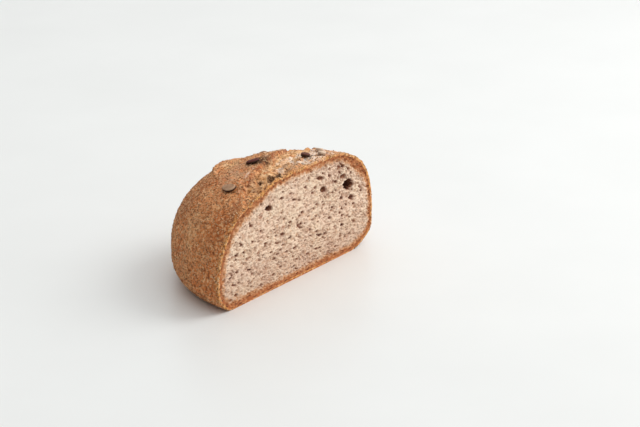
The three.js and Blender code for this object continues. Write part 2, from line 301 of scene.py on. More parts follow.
# The camera looks at the foot of the cut's middle, which stands off the picture's middle by CAMERA_OFF.
CAMERA_AZIMUTH = -52.47
CAMERA_ELEVATION = 20.99
CAMERA_DISTANCE = 1503.8
CAMERA_OFF = (-16.2, -47.75)
CAMERA_LENS = 112.5
CAMERA_SENSOR = 36.0

# The soft light stands to the picture's right, behind the loaf and above it: right, away, up, in metres. The
# sky is brightest on that side.
KEY_PLACE = (1.25, 0.3, 1.15)
KEY_SIZE = 1.1
SKY_SIDE = (0.75, 0.45, 0.5)
SKY_TINT = (0.982, 1.0, 1.0, 1.0)
FLOOR_HALF = 6.0


def smooth(low, high, value):
    """0 below low, 1 above high, and an even S between them."""
    share = min(max((value - low) / (high - low), 0.0), 1.0)
    return share * share * (3 - 2 * share)


def lerp(low, high, share):
    return low + (high - low) * share


def bell(value, middle, width):
    """1 at the middle, falling to nothing on both sides."""
    return math.exp(-(((value - middle) / width) ** 2))


def scatter(i, j, salt):
    """A fixed number from 0 to 1 for a pair of whole numbers."""
    value = math.sin(i * 127.1 + j * 311.7 + salt * 74.7) * 43758.5453
    return value - math.floor(value)


def swell(x, y, z, length, starts):
    turn = 2 * math.pi / length
    first = math.sin(turn * (0.83 * x + 0.41 * z) + starts[0])
    second = math.sin(turn * 1.2 * (0.92 * y - 0.37 * x) + starts[1])
    third = math.sin(turn * 0.84 * (0.77 * z + 0.58 * y) + starts[2])
    return (first + second + third) / 3


def unevenness(x, y, z, waves):
    return sum(height * swell(x, y, z, length, starts) for length, height, starts in waves)


def fullness(angle):
    back = max(0.0, math.cos(angle - BACK_ANGLE))
    return FULLNESS + FULLNESS_SKEW * math.cos(angle) + BACK_FULLNESS * back * back


def score_edges(score, along):
    opened = smooth(score["start"], score["start"] + score["widens"], along)
    middle = lerp(score["foot"], score["lip"], SCORE_AXIS)
    begun = smooth(score["start"], score["start"] + SCORE_FADE, along)
    still_open = begun * (1 - smooth(score["end"] - SCORE_FADE, score["end"], along))
    return lerp(middle, score["foot"], opened), lerp(middle, score["lip"], opened), still_open


def patch_share(patch, along, across):
    lengthwise = smooth(patch["start"] - PLATE_FADE, patch["start"], along)
    lengthwise *= 1 - smooth(patch["end"] - PLATE_FADE, patch["end"], along)
    crosswise = smooth(patch["low"] - PLATE_FADE, patch["low"], across)
    crosswise *= 1 - smooth(patch["high"] - PLATE_BREAK, patch["high"], across)
    return lengthwise * crosswise


def plate_cells(along, across):
    """Distance to the crack between the two nearest plates, and the nearest one's lift with its tilt."""
    column = math.floor(along / PLATE_SIZE)
    row = math.floor(across / PLATE_SIZE)
    nearest = second = math.inf
    lift = 0.0
    for i in range(column - 1, column + 2):
        for j in range(row - 1, row + 2):
            away_along = along - (i + 0.5 + PLATE_JITTER * (scatter(i, j, 1) - 0.5)) * PLATE_SIZE
            away_across = across - (j + 0.5 + PLATE_JITTER * (scatter(i, j, 2) - 0.5)) * PLATE_SIZE
            distance = math.hypot(away_along, away_across)
            if distance < nearest:
                second = nearest
                nearest = distance
                lean = 2 * math.pi * scatter(i, j, 4)
                tilt = PLATE_TILT * (away_along * math.cos(lean) + away_across * math.sin(lean))
                lift = lerp(*PLATE_LIFTS, scatter(i, j, 3)) + tilt
            elif distance < second:
                second = distance
    return second - nearest, lift


def inside_oval(x, y, oval, wobble):
    """How deep a place lies in an oval of middle, half sizes and turn: 1 at its middle, 0 at its edge."""
    middle_x, middle_y, half_length, half_width, turn = oval
    reach = 1.3 * max(half_length, half_width)
    if abs(x - middle_x) > reach or abs(y - middle_y) > reach:
        return 0.0
    cosine, sine = math.cos(math.radians(turn)), math.sin(math.radians(turn))
    along = ((x - middle_x) * cosine + (y - middle_y) * sine) / half_length
    across = ((y - middle_y) * cosine - (x - middle_x) * sine) / half_width
    return max(1 - math.hypot(along, across) - 0.35 * wobble, 0.0)


def seed_frame(x, y, turn, length, toast):
    """A seed's middle on the smooth dome, its three directions, half length, half width and toast."""
    middle = dome_above(x, y)
    facing = outward(*middle)
    lay = Vector((0, 0, 1)).rotation_difference(facing)
    turned = math.radians(turn)
    lengthwise = lay @ Vector((math.cos(turned), math.sin(turned), 0))
    half_width = SEED_WIDTH / 2 * length / SEED_LENGTH
    return middle, lengthwise, facing.cross(lengthwise), facing, length / 2, half_width, toast


def seed_moats(near):
    """The groove round each seed, deepest on its shaded side, the low swelling outside it, and the painted
    shade laid in the groove.
    """
    height = shade = 0.0
    for middle, lengthwise, crosswise, _, half_length, half_width, _ in SEED_FRAMES:
        away = near - middle
        if away.length > MOAT_REACH * half_length:
            continue
        spread = math.hypot(away.dot(lengthwise) / half_length, away.dot(crosswise) / half_width)
        past = (spread - 1) * half_width
        side = (0.5 + 0.5 * math.cos(math.atan2(away.y, away.x) - SHADED_SIDE)) ** 2
        groove = bell(past, MOAT_PLACE, MOAT_WIDTH) * lerp(0.15, 1.0, side)
        height += MOAT_SWELL * bell(past, *MOAT_SWELL_STRIP) - MOAT_DEPTH * groove
        shade = max(shade, groove)
    return height, shade


def read_crust(x, y, z):
    """Height of the crust above a place on the smooth dome, its shift across the scores, and its looks."""
    along = x * math.cos(SCORE_TURN) + y * math.sin(SCORE_TURN)
    across = y * math.cos(SCORE_TURN) - x * math.sin(SCORE_TURN)
    top = smooth(*SHOULDER, z)
    near = Vector((x, y, z))
    ragged = noise.noise(near / 3.2)
    patchy = noise.noise(near / 8.0)
    crag = unevenness(x, y, z, CRAGS)
    fibres = noise.turbulence(near / 5.5, 4, False, amplitude_scale=0.55, frequency_scale=2.1) - 0.45
    height = unevenness(x, y, z, SWELLS)
    looks = dict.fromkeys(LOOKS, 0.0)
    overhang = 0.0
    for score, depth_of_gold in ((FRONT_SCORE, 1.0), (BACK_SCORE, 0.4)):
        foot, lip, still_open = score_edges(score, along)
        edge = across + 1.1 * ragged
        share = (edge - foot) / max(lip - foot, 1.0)
        below_lip = 1 - smooth(lip - LIP_EDGE, lip, edge)
        inside = smooth(foot - FOOT_EDGE, foot + FOOT_EDGE, edge) * below_lip
        torn = inside * (
            score["climb"] * max(share, 0.0) ** 0.8
            - score["depth"]
            + score["crags"] * (0.8 * crag + 1.5 * fibres)
        )
        past = edge - lip
        grown = smooth(score["lip_starts"], score["lip_full"], along + 6 * patchy)
        raised = grown * smooth(-LIP_EDGE, 0, past) * math.exp(-max(past, 0) / score["fall"])
        undercut = grown * score["crags"] * bell(past, *UNDERCUT)
        height += top * still_open * (torn + score["lift"] * raised - undercut)
        overhang += top * still_open * score["overhang"] * bell(past, *LIP_RIM)
        gold = top * still_open * inside * smooth(-62, -34, along + 9 * patchy)
        looks["torn"] = max(looks["torn"], depth_of_gold * gold)
        # Along the lip: partly roasting, partly painted shade under the lip.
        lip_roast_and_shade = bell(past, *LIP_ROAST_AND_SHADE_STRIP) * smooth(-0.5, 0.1, patchy)
        looks["roast"] = max(looks["roast"], depth_of_gold * top * still_open * grown * lip_roast_and_shade)
        # Pale crest beyond the lip: partly flour, partly a painted highlight.
        crest_flour_and_highlight = bell(past, *FLOUR_AND_HIGHLIGHT_CREST) * smooth(-0.2, 0.3, ragged)
        looks["flour"] = max(looks["flour"], 0.5 * depth_of_gold * top * still_open * grown * crest_flour_and_highlight)
    foot_side = top * smooth(-46, -22, along + 8 * patchy)
    foot_side *= 1 - smooth(12, 28, along)
    foot_side *= 1 - smooth(6, 10, across)
    height += foot_side * (0.5 * crag + 0.9 * fibres)
    looks["torn"] = max(looks["torn"], 0.8 * foot_side)
    ridge = smooth(FRONT_SCORE["lip"], FRONT_SCORE["lip"] + RIDGE["edge"], across)
    ridge *= 1 - smooth(BACK_SCORE["foot"] - RIDGE["edge"], BACK_SCORE["foot"], across)
    height += top * ridge * RIDGE["lift"] * smooth(RIDGE["from"], RIDGE["full"], along)
    plates = max(patch_share(FRONT_PLATES, along, across), patch_share(RIDGE_PLATES, along, across))
    if plates > 0:
        stray = noise.noise(near / 4.1 + Vector((9, 0, 0)))
        gap, lift = plate_cells(along + 1.6 * ragged, across + 1.6 * stray)
        gap += CLOSED_CRACK * smooth(0.05, 0.35, noise.noise(near / 10.0))
        crack = 1 - smooth(0, CRACK_WIDTH, gap)
        height += top * plates * (lift - CRACK_DEPTH * crack)
        looks["flour"] = max(looks["flour"], top * plates * smooth(-0.5, 0.3, patchy + 0.5 * ragged))
        looks["gap"] = top * plates * (1 - min(gap, GAP_FAR) / GAP_FAR)
    on_dome = z > BELLY_HEIGHT
    for kind, *oval, strength in SPOTS:
        spot = strength * smooth(0, 0.5, inside_oval(x, y, oval, ragged)) * on_dome
        looks[kind] = max(looks[kind], spot)
    for bulge_x, bulge_y, lift, reach in BULGES:
        height += lift * math.exp(-((x - bulge_x) ** 2 + (y - bulge_y) ** 2) / reach ** 2)
    for *oval, depth in PITS:
        inside = inside_oval(x, y, oval, ragged) * on_dome
        height -= depth * smooth(0.05, 0.5, inside)
        # Painted shade in the holes, darker the deeper they are.
        looks["dark"] = max(looks["dark"], smooth(0, 0.2, inside) * smooth(0.3, 1.8, depth))
    moat, shade = seed_moats(near)
    height += moat
    # Painted shade in the grooves round the seeds.
    looks["dark"] = max(looks["dark"], 0.8 * shade)
    looks["gold"] = max(looks["gold"], 0.6 * (1 - smooth(0, 8, z)) * smooth(-0.2, 0.35, patchy))
    looks["rim"] = bell(y, 0, 2.3) + 0.5 * (1 - smooth(0, 1.5, z))
    looks["bran"] = 1 - 0.5 * looks["torn"] - 0.55 * looks["flour"] + 0.5 * bell(y, 0, 5)
    pebbles = 0.5 * noise.noise(near / 1.9) + 0.7 * noise.noise(near / 3.3)
    sand = 0.3 * noise.noise(near / 2.3) + 0.2 * noise.noise(near / 1.1) + 0.3 * noise.noise(near / 5.2)
    fade = smooth(0, BELLY_HEIGHT, z)
    height = height * fade + smooth(0, 2, z) * lerp(sand, pebbles, min(looks["torn"], 1.0))
    return height, overhang * fade, looks


def outward(x, y, z):
    rise = max(z - BELLY_HEIGHT, 0.0) / DOME
    return Vector((x / RADIUS_X ** 2, y / RADIUS_Y ** 2, rise / DOME)).normalized()


def dome_place(east, north, up):
    """Where a point of a round shell of radius 1, with its ground at height -1, lies on the smooth loaf."""
    angle = math.atan2(north, east)
    spread = math.hypot(east, north)
    if up > 0:
        power = fullness(angle)
        slope = math.atan2(up, spread)
        cosine, sine = max(math.cos(slope), 0.0), max(math.sin(slope), 0.0)
        reach = (cosine ** power + sine ** power) ** (-1 / power)
        spread = reach * cosine
        z = BELLY_HEIGHT + DOME * reach * sine
    else:
        z = BELLY_HEIGHT * (1 + up)
        tuck = BASE_TUCK + BASE_TUCK_SKEW * math.cos(angle)
        below = max(0.0, 1 - z / BASE_ROUNDING)
        rounding = (BASE_ROUNDING / RADIUS_X) * (1 - math.sqrt(1 - below * below))
        spread *= math.sqrt(1 - tuck * up * up) - rounding
    return Vector((RADIUS_X * spread * math.cos(angle), RADIUS_Y * spread * math.sin(angle), z))


def crust_place(smooth_place):
    """The dome's point moved out to the crust's surface, and its looks."""
    height, overhang, looks = read_crust(*smooth_place)
    place = smooth_place + outward(*smooth_place) * height
    place.x += overhang * math.sin(SCORE_TURN)
    place.y = max(place.y - overhang * math.cos(SCORE_TURN), 0.0)
    return place, looks


def dome_above(x, y):
    angle = math.atan2(y / RADIUS_Y, x / RADIUS_X)
    power = fullness(angle)
    spread = math.hypot(x / RADIUS_X, y / RADIUS_Y)
    return Vector((x, y, BELLY_HEIGHT + DOME * (1 - spread ** power) ** (1 / power)))


SEED_FRAMES = [seed_frame(*seed) for seed in SEEDS]


def to_row(place):
    """From the loaf's own millimetres to the shared frame's metres."""
    return Vector((place.x, place.y - DEPTH / 2, place.z)) * MM


def to_linear(hex_colour):
    """An sRGB hex colour as linear red, green, blue and an opaque alpha."""
    channels = [int(hex_colour[i:i + 2], 16) / 255 for i in (1, 3, 5)]
    linear = [c / 12.92 if c <= 0.04045 else ((c + 0.055) / 1.055) ** 2.4 for c in channels]
    return (*linear, 1.0)


def per(size_mm):
    """The texture scale at which a pattern repeats about every size_mm."""
    return 1 / (size_mm * MM)


def add_node(tree, kind, inputs=None, **settings):
    """Adds a node, sets its settings, and gives its inputs values or links."""
    node = tree.nodes.new(kind)
    for name, value in settings.items():
        setattr(node, name, value)
    for socket, value in (inputs or {}).items():
        if isinstance(value, bpy.types.NodeSocket):
            tree.links.new(value, node.inputs[socket])
        else:
            node.inputs[socket].default_value = value
    return node


def new_material(name, roughness, specular):
    """A material with a Principled shader, and its tree, shader and Object coordinates."""
    material = bpy.data.materials.new(name)
    material.use_nodes = True
    tree = material.node_tree
    tree.nodes.clear()
    gloss = {"Roughness": roughness, "Specular IOR Level": specular}
    shader = add_node(tree, "ShaderNodeBsdfPrincipled", gloss)
    add_node(tree, "ShaderNodeOutputMaterial", {"Surface": shader.outputs[0]})
    coords = add_node(tree, "ShaderNodeTexCoord").outputs["Object"]
    return material, tree, shader, coords


def grain_noise(tree, coords, size_mm, detail=3.0, roughness=0.5):
    inputs = {"Vector": coords, "Scale": per(size_mm), "Detail": detail, "Roughness": roughness}
    return add_node(tree, "ShaderNodeTexNoise", inputs).outputs[0]


def cell_noise(tree, coords, size_mm):
    return add_node(tree, "ShaderNodeTexVoronoi", {"Vector": coords, "Scale": per(size_mm)}).outputs["Color"]


def own_value(tree, name):
    return add_node(tree, "ShaderNodeAttribute", attribute_name=name).outputs["Fac"]


def between(tree, value, low, high, strength=1.0):
    """Where a value lies from low to high, as 0 to the strength."""
    inputs = {"Value": value, "From Min": low, "From Max": high, "To Max": strength}
    return add_node(tree, "ShaderNodeMapRange", inputs).outputs[0]


def calculate(tree, operation, first, second):
    return add_node(tree, "ShaderNodeMath", {0: first, 1: second}, operation=operation).outputs[0]


def layer(tree, under, share, over):
    """A colour laid over another one; either may be an sRGB hex value."""
    under, over = (to_linear(colour) if isinstance(colour, str) else colour for colour in (under, over))
    return add_node(tree, "ShaderNodeMix", {0: share, 6: under, 7: over}, data_type="RGBA").outputs[2]


def layers_between(tree, colour, rows):
    """Colours laid over one another, each where its value lies between two limits."""
    for value, low, high, strength, over in rows:
        colour = layer(tree, colour, between(tree, value, low, high, strength), over)
    return colour


def add_relief(tree, shader, height, strength, distance_mm):
    inputs = {"Height": height, "Strength": strength, "Distance": distance_mm * MM}
    tree.links.new(add_node(tree, "ShaderNodeBump", inputs).outputs[0], shader.inputs["Normal"])


def crust_material(finish):
    """Baked crust: flour and bran browned dry in the oven, so it is matte and sandy, with no two spots alike.
    It is darker where the heat caught it, golden where the dough tore late, and pale where flour stayed.
    Painted shade darkens its holes, the grooves round its seeds and a strip along each lip's underside, and a
    painted highlight pales each lip's crest."""
    material, tree, shader, coords = new_material("baked_crust", 0.85, 0.2)
    patches = grain_noise(tree, coords, 34)
    blotches = grain_noise(tree, coords, 13)
    mottles = grain_noise(tree, coords, 4.5, 4.0)
    sand = grain_noise(tree, coords, 2.8, 5.0, 0.8)
    masks = {name: own_value(tree, name) for name in LOOKS}

    colour = layers_between(tree, finish.brown, (
        (patches, 0.38, 0.64, 1.0, finish.tan),
        (blotches, 0.52, 0.7, 0.5, finish.russet),
        (mottles, 0.52, 0.72, 0.2, finish.dusty),
    ))
    golden = layers_between(tree, finish.gold, (
        (mottles, 0.4, 0.62, 1.0, finish.pale_gold),
        (grain_noise(tree, coords, 6.5), 0.52, 0.66, 0.6, finish.russet),
    ))
    colour = layer(tree, colour, calculate(tree, "MAXIMUM", masks["torn"], masks["gold"]), golden)
    film = calculate(tree, "MULTIPLY", masks["dust"], between(tree, mottles, 0.3, 0.6))
    colour = layer(tree, colour, film, finish.dusty)
    roast = calculate(tree, "MULTIPLY", masks["roast"], between(tree, mottles, 0.3, 0.5))
    # Roasted spots, and the strip under the lips, which is partly painted shade.
    colour = layer(tree, colour, roast, finish.roasted_and_lip_shade)
    flour = calculate(tree, "MULTIPLY", masks["flour"], between(tree, mottles, 0.27, 0.53, 0.95))
    colour = layer(tree, colour, flour, finish.flour)
    ragged = between(tree, grain_noise(tree, coords, 4.5, 4.0), 0.36, 0.54, 0.9)
    colour = layer(tree, colour, calculate(tree, "MULTIPLY", masks["rim"], ragged), finish.ribbon)
    flecks = between(tree, grain_noise(tree, coords, 3.0, 4.0), 0.54, 0.64, 0.75)
    colour = layer(tree, colour, calculate(tree, "MULTIPLY", masks["rim"], flecks), finish.roasted_and_lip_shade)
    smoother = calculate(tree, "MAXIMUM", masks["dust"], masks["roast"])
    smoother = calculate(tree, "MAXIMUM", masks["torn"], smoother)
    thinning = {"Value": smoother, "To Min": 1.0, "To Max": 0.45}
    sandy = add_node(tree, "ShaderNodeMapRange", thinning).outputs[0]
    for pattern, low, high, strength, tone in (
        (sand, 0.48, 0.34, 0.85, finish.scorched),
        (sand, 0.52, 0.67, 0.88, finish.semolina),
        (cell_noise(tree, coords, 1.7), 0.7, 0.85, 0.7, finish.semolina),
        (cell_noise(tree, coords, 1.9), 0.22, 0.12, 0.6, finish.scorched),
    ):
        share = calculate(tree, "MULTIPLY", between(tree, pattern, low, high, strength), sandy)
        colour = layer(tree, colour, share, tone)
    crack = calculate(tree, "SUBTRACT", masks["gap"], between(tree, mottles, 0.3, 0.7, 0.12))
    colour = layer(tree, colour, between(tree, crack, 0.84, 0.93, 0.9), finish.scorched)
    # Painted shade: the holes, the seeds' grooves and the dark spots.
    dark = calculate(tree, "SUBTRACT", masks["dark"], between(tree, sand, 0.5, 0.62, 0.35))
    colour = layer(tree, colour, dark, finish.pit_shade)
    tree.links.new(colour, shader.inputs["Base Color"])
    grit = calculate(tree, "ADD", sand, grain_noise(tree, coords, 1.0))
    add_relief(tree, shader, grit, 0.6, 0.4)
    return material


def crumb_material(finish):
    """Cut crumb: set dough sliced with a knife, matte and slightly moist, full of fine pores whose walls are
    redder and carry painted shade that deepens with their depth. Painted shade also darkens it towards its
    base. It browns into the crust at its edge."""
    material, tree, shader, coords = new_material("cut_crumb", 0.8, 0.25)
    lie = {"Vector": coords, "Rotation": (0, math.radians(CRUMB_LEAN), 0), "Scale": (0.4, 1, 1)}
    flow = add_node(tree, "ShaderNodeMapping", lie).outputs[0]
    cloud = grain_noise(tree, coords, 16)
    web = grain_noise(tree, flow, 1.6, 4.0)
    mottle = grain_noise(tree, flow, 3.2)
    height = add_node(tree, "ShaderNodeSeparateXYZ", {0: coords}).outputs[2]
    pore = own_value(tree, "pore")
    edge = own_value(tree, "edge")

    colour = layers_between(tree, finish.light, (
        (cloud, 0.35, 0.65, 0.7, finish.rosy),
        # Painted shade: the crumb darkens towards its base.
        (height, 34 * MM, 2 * MM, 0.42, finish.shade),
        (mottle, 0.54, 0.34, 0.45, finish.shade),
        (web, 0.5, 0.34, 0.55, finish.shade),
        (web, 0.56, 0.7, 0.4, finish.bright),
        (cell_noise(tree, coords, 3.6), 0.12, 0.05, 0.5, finish.bran),
        # Painted shade in the pores, deepening with their depth.
        (pore, 0.06, 0.6, 1.0, finish.pore),
        (pore, 0.55, 1.0, 1.0, finish.deep),
    ))
    ragged = calculate(tree, "ADD", edge, between(tree, grain_noise(tree, coords, 2.6), 0.7, 0.3, 0.5))
    ragged = calculate(tree, "SUBTRACT", ragged, 0.25)
    colour = layers_between(tree, colour, (
        (ragged, 0.05, 0.55, 0.85, finish.toasted),
        (ragged, 0.45, 0.8, 0.85, finish.browned),
    ))
    inner = between(tree, ragged, 0.45, 0.8)
    flecks = between(tree, grain_noise(tree, coords, 2.4), 0.52, 0.64, 0.8)
    colour = layer(tree, colour, calculate(tree, "MULTIPLY", inner, flecks), finish.toasted)
    scorch = calculate(tree, "MULTIPLY", inner, between(tree, web, 0.5, 0.36, 0.7))
    colour = layer(tree, colour, scorch, finish.deep)
    tree.links.new(colour, shader.inputs["Base Color"])
    rough = calculate(tree, "ADD", web, grain_noise(tree, flow, 0.8, 4.0))
    add_relief(tree, shader, rough, 0.5, 0.35)
    return material


def seed_material(finish):
    """Toasted pumpkin seed: a thin papery skin, satin and streaked, which the oven browns. Its lower flank
    gets painted shade, and the pale tone of its raised rim is partly a painted highlight.
    """
    material, tree, shader, coords = new_material("toasted_pumpkin_seed", 0.65, 0.22)
    streaks = grain_noise(tree, coords, 2.2, 4.0)
    colour = layer(tree, finish.brown, between(tree, streaks, 0.35, 0.65), finish.dry)
    # The raised rim's paler tone, partly a painted highlight on the ridge.
    colour = layer(tree, colour, own_value(tree, "rim"), finish.rim)
    toast = own_value(tree, "toast")
    colour = layer(tree, colour, toast, finish.toasted)
    colour = layer(tree, colour, between(tree, toast, 0.2, 0.0, 0.8), finish.dusted)
    colour = layer(tree, colour, between(tree, streaks, 0.62, 0.78, 0.35), finish.dusted)
    # Painted shade on the lower flank, standing for the shadow under the seed.
    colour = layer(tree, colour, own_value(tree, "under"), finish.under)
    tree.links.new(colour, shader.inputs["Base Color"])
    add_relief(tree, shader, streaks, 0.4, 0.2)
    return material


def grain_material(name, dark, pale):
    """Bran or semolina: tiny dry grains, matte, each of its own tone."""
    material, tree, shader, _ = new_material(name, 0.8, 0.2)
    tree.links.new(layer(tree, dark, own_value(tree, "tone"), pale), shader.inputs["Base Color"])
    return material


def floor_material(studio):
    """Smooth pale floor: nearly white, with a faint soft sheen."""
    material, tree, shader, coords = new_material("pale_floor", 0.35, 0.3)
    clouds = grain_noise(tree, coords, 110)
    tree.links.new(layer(tree, studio.floor_shade, clouds, studio.floor_light), shader.inputs["Base Color"])
    return material


def finished_object(name, bm, material):
    """A mesh object at the origin from a bmesh in the row's metres, smooth shaded."""
    mesh = bpy.data.meshes.new(name)
    bm.to_mesh(mesh)
    bm.free()
    mesh.shade_smooth()
    mesh.materials.append(material)
    obj = bpy.data.objects.new(name, mesh)
    bpy.context.scene.collection.objects.link(obj)
    return obj


def join_frame(obj):
    """The piece rides on the bread's body and stands for its solid."""
    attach(obj, BODY)
    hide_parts(NODE)


def cut_outline():
    """The edge of the cut face: each point's turn round the crumb's middle, distance to it, x and z."""
    rows = round(1.6 * HEIGHT / OUTLINE_STEP)
    places = []
    for side in (1, -1):
        for i in range(rows + 1):
            slope = math.pi / 2 * i / rows
            places.append(dome_place(side * math.cos(slope), 0.0, math.sin(slope)))
        for i in range(1, SIDE_STEPS + 1):
            places.append(dome_place(side, 0.0, -i / SIDE_STEPS))
        for i in range(1, GROUND_STEPS):
            places.append(dome_place(side * (1 - i / GROUND_STEPS), 0.0, -1.0))
    points = []
    for place in places:
        moved = crust_place(place)[0]
        offset = Vector((moved.x, moved.z - CRUMB_MIDDLE))
        points.append((math.atan2(offset.y, offset.x), offset.length, moved.x, moved.z))
    return sorted(points)


def close_pocket(bm, steps, gap, values):
    """Takes a mesh's open edge in and back step by step, fills it, and moves the mesh to the shared frame."""
    edges = [edge for edge in bm.edges if edge.is_boundary]
    for inward, deeper in steps:
        made = bmesh.ops.extrude_edge_only(bm, edges=edges)["geom"]
        edges = [item for item in made if isinstance(item, bmesh.types.BMEdge) and item.is_boundary]
        for vert in (item for item in made if isinstance(item, bmesh.types.BMVert)):
            offset = Vector((vert.co.x, 0, vert.co.z - CRUMB_MIDDLE))
            vert.co -= offset.normalized() * inward
            vert.co.y += deeper - gap
            for value_layer, value in values:
                vert[value_layer] = value
    bmesh.ops.contextual_create(bm, geom=edges)
    for vert in bm.verts:
        vert.co = to_row(vert.co)
    bmesh.ops.recalc_face_normals(bm, faces=bm.faces)


def count(name, description, number):
    return bpy.props.IntProperty(name=name, description=description, default=number)


def amount(name, description, number, unit="NONE"):
    return bpy.props.FloatProperty(name=name, description=description, default=number, unit=unit, precision=5)


def hex_value(name, description, value):
    return bpy.props.StringProperty(name=name, description=description, default=value)


class LoafShape(bpy.types.PropertyGroup):
    """Fineness of the loaf's meshes and amounts of what is scattered on it."""

    around: count("Steps Around", "Steps of the crust round the half loaf", 400)
    rows: count("Rows", "Rows of the crust from belly to top", 196)
    crumb_step: amount("Crumb Step", "Spacing of the crumb's mesh", 0.44 * MM, "LENGTH")
    fine_pores: count("Fine Pores", "Pores of about 1 to 2 mm", 7000)
    middle_pores: count("Middle Pores", "Pores of about 2 to 4 mm", 380)
    grain_density: amount("Grain Density", "Grains of each kind on each square metre of crust", 250000.0)
    semolina_size: amount("Semolina Size", "Half the width of a grain", 0.5 * MM, "LENGTH")
    bran_size: amount("Bran Size", "Half the width of a flake", 0.75 * MM, "LENGTH")


class CrustFinish(bpy.types.PropertyGroup):
    """Colours of the crust, as sRGB hex values."""

    brown: hex_value("Brown", "Well baked crust", "#D47B41")
    tan: hex_value("Tan", "Lighter crust", "#DA905B")
    russet: hex_value("Russet", "Redder crust", "#CA6B3A")
    dusty: hex_value("Dusty", "Crust under a film of flour", "#C29A7C")
    gold: hex_value("Gold", "Torn dough", "#E2A56C")
    pale_gold: hex_value("Pale Gold", "Palest torn dough", "#F4CA9C")
    # Roasted spots and lips; under the lips it is partly painted shade.
    roasted_and_lip_shade: hex_value("Roasted and Lip Shade", "Lips of the scores", "#884426")
    flour: hex_value("Flour", "Floury plates", "#FBE9D8")
    ribbon: hex_value("Ribbon", "Edge of the cut crust", "#E0A058")
    semolina: hex_value("Semolina", "Light specks", "#FAC892")
    scorched: hex_value("Scorched", "Cracks and dark specks", "#6C341B")
    # Painted shade laid in the holes, the grooves round the seeds and the dark spots.
    pit_shade: hex_value("Pit Shade", "Depth of holes in the crust", "#52351F")


class CrumbFinish(bpy.types.PropertyGroup):
    """Colours of the crumb, as sRGB hex values."""

    light: hex_value("Light", "Crumb between the pores", "#F6DBBF")
    rosy: hex_value("Rosy", "Pinker crumb", "#F2D0B8")
    bright: hex_value("Bright", "Palest crumb", "#EEDAC6")
    # Shade is also the painted shade that darkens the crumb towards its base.
    shade: hex_value("Shade", "Fine pores", "#B58A70")
    bran: hex_value("Bran", "Bran in the crumb", "#9C5F46")
    # Painted shade in the pores by their depth, over redder walls; Deep also tints scorched flecks at the
    # edge.
    pore: hex_value("Pore", "Walls of the pores", "#8C5A46")
    deep: hex_value("Deep", "Depth of the pores", "#4E281B")
    toasted: hex_value("Toasted", "Crumb under the crust", "#D2925E")
    browned: hex_value("Browned", "Inner crust", "#A8592C")


class SeedFinish(bpy.types.PropertyGroup):
    """Colours of the pumpkin seeds, as sRGB hex values."""

    brown: hex_value("Brown", "Seed skin", "#BE9270")
    dry: hex_value("Dry", "Drier seed skin", "#CCA27E")
    # Paler tone of the seed's raised rim, partly a painted highlight.
    rim: hex_value("Rim", "Raised rim of the seed", "#E8C6A2")
    toasted: hex_value("Toasted", "Darkest seed", "#5E2B22")
    dusted: hex_value("Dusted", "Flour on the seed", "#E8D2BC")
    # Painted shade: the colour laid on each seed's lower flank for the shadow under it.
    under: hex_value("Underside Shade", "Lower side of the seed", "#3E2416")


class GrainFinish(bpy.types.PropertyGroup):
    """Colours of the semolina and bran, as sRGB hex values."""

    semolina: hex_value("Semolina", "Baked semolina", "#C48F60")
    pale_semolina: hex_value("Pale Semolina", "Pale semolina", "#EDCBA0")
    bran: hex_value("Bran", "Baked bran", "#7A4A2E")
    pale_bran: hex_value("Pale Bran", "Pale bran", "#B98358")


class StudioSettings(bpy.types.PropertyGroup):
    """Floor and lights."""

    floor_light: hex_value("Floor Light", "Pale floor", "#EEEEEC")
    floor_shade: hex_value("Floor Shade", "Its faint clouds", "#E7E7E5")
    key_power: amount("Key", "Power of the large soft light", 11.5, "POWER")
    sky_dark: amount("Dark Sky", "Light from the side away from the key", 0.25)
    sky_bright: amount("Bright Sky", "Light from the key's side", 1.12)


class BREAD_OT_crust(bpy.types.Operator):
    """Build the baked crust: a half dome with scores, plates and sand in it, hollow behind the cut"""

    bl_idname = "bread.crust"
    bl_label = "Build Crust"

    def execute(self, context):
        shape = context.scene.loaf_shape
        bm = bmesh.new()
        belly = bm.verts.new((1, 0, 0))
        bmesh.ops.spin(
            bm, geom=[belly], cent=(0, 0, 0), axis=(0, -1, 0), angle=math.pi / 2, steps=shape.rows,
            use_merge=False,
        )
        foot = bm.verts.new((1, 0, -1))
        middle = bm.verts.new((0, 0, -1))
        side = bm.edges.new((belly, foot))
        ground = bm.edges.new((foot, middle))
        bmesh.ops.subdivide_edges(bm, edges=[side], cuts=23)
        bmesh.ops.subdivide_edges(bm, edges=[ground], cuts=3)
        bmesh.ops.spin(
            bm, geom=bm.verts[:] + bm.edges[:], cent=(0, 0, 0), axis=(0, 0, 1), angle=math.pi,
            steps=shape.around, use_merge=False,
        )
        bmesh.ops.remove_doubles(bm, verts=bm.verts, dist=1e-6)
        if any(len(edge.link_faces) > 2 for edge in bm.edges):
            raise RuntimeError("the crust's shell touches itself")
        layers = {name: bm.verts.layers.float.new(name) for name in LOOKS}
        for vert in bm.verts:
            up = vert.co.z
            place = dome_place(vert.co.x, max(vert.co.y, 0.0), up)
            if place.z > 0:
                place, looks = crust_place(place)
                for name, value in looks.items():
                    vert[layers[name]] = value
            vert.co = place
        for vert in {vert for edge in bm.edges if edge.is_boundary for vert in edge.verts}:
            vert.co.y = 0
        pocket_looks = [(values, float(name == "rim")) for name, values in layers.items()]
        close_pocket(bm, POCKET_STEPS, 0.0, pocket_looks)
        crust = finished_object("crust", bm, crust_material(context.scene.crust_finish))
        join_frame(crust)
        return {"FINISHED"}


